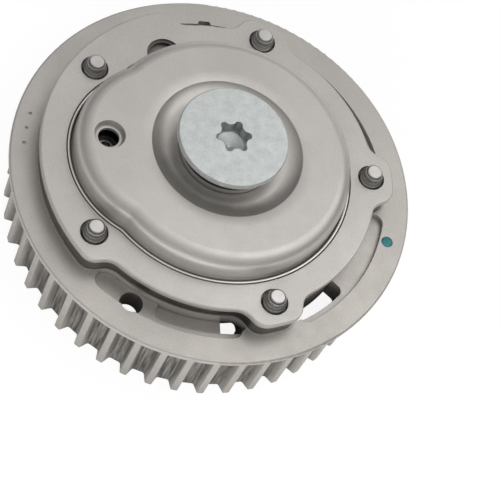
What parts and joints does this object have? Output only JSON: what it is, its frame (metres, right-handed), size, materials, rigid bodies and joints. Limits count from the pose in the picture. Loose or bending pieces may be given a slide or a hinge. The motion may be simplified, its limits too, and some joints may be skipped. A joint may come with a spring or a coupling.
{
  "type": "camshaft gear",
  "caption": "Toothed belt gear for a camshaft with a vane timing unit, domed cover and closing plug.",
  "frame": {"origin": "on the shaft axis in the plane of the belt rim's rear face", "axes": "+Z along the shaft, from the camshaft side towards the closing plug"},
  "size_m": [0.1446, 0.1446, 0.0603],
  "materials": {
    "sintered_steel": "satin",
    "dark_steel": "satin",
    "cover_steel": "satin",
    "screw_steel": "satin",
    "seal_rubber": "matte",
    "pin_steel": "satin",
    "spring_steel": "satin",
    "rotor_steel": "satin",
    "vane_steel": "satin",
    "plated_steel": "satin"
  },
  "bodies": {
    "pulley": {"toothed_stator": "sintered_steel", "front_plate": "dark_steel", "cover_plate": "cover_steel", "spring_cover": "cover_steel", "rear_plate": "dark_steel", "clamp_screws": "screw_steel", "front_seal": "seal_rubber", "rear_seal": "seal_rubber", "stator_dowels": "pin_steel", "bias_spring": "spring_steel", "lock_cap": "pin_steel", "lock_spring": "spring_steel"},
    "rotor": {"rotor": "rotor_steel", "lock_seat": "pin_steel", "front_shaft_ring": "seal_rubber", "rear_shaft_ring": "seal_rubber", "closing_plug": "plated_steel", "plug_seal": "seal_rubber", "vane_1": "vane_steel", "vane_2": "vane_steel", "vane_3": "vane_steel", "vane_4": "vane_steel", "vane_spring_1": "spring_steel", "vane_spring_2": "spring_steel", "vane_spring_3": "spring_steel", "vane_spring_4": "spring_steel"},
    "lock_pin": {"lock_pin": "pin_steel"}
  },
  "joints": [
    {"name": "rotor_advance", "type": "hinge", "parent": "pulley", "child": "rotor", "pos_m": [0, 0, 0.024], "axis": [0, 0, -1], "range_deg": [0, 22.5]},
    {"name": "lock_pin_slide", "type": "slide", "parent": "pulley", "child": "lock_pin", "axis": [0, 0, -1], "range_m": [0, 0.002], "deforming": ["lock_spring"]}
  ]
}
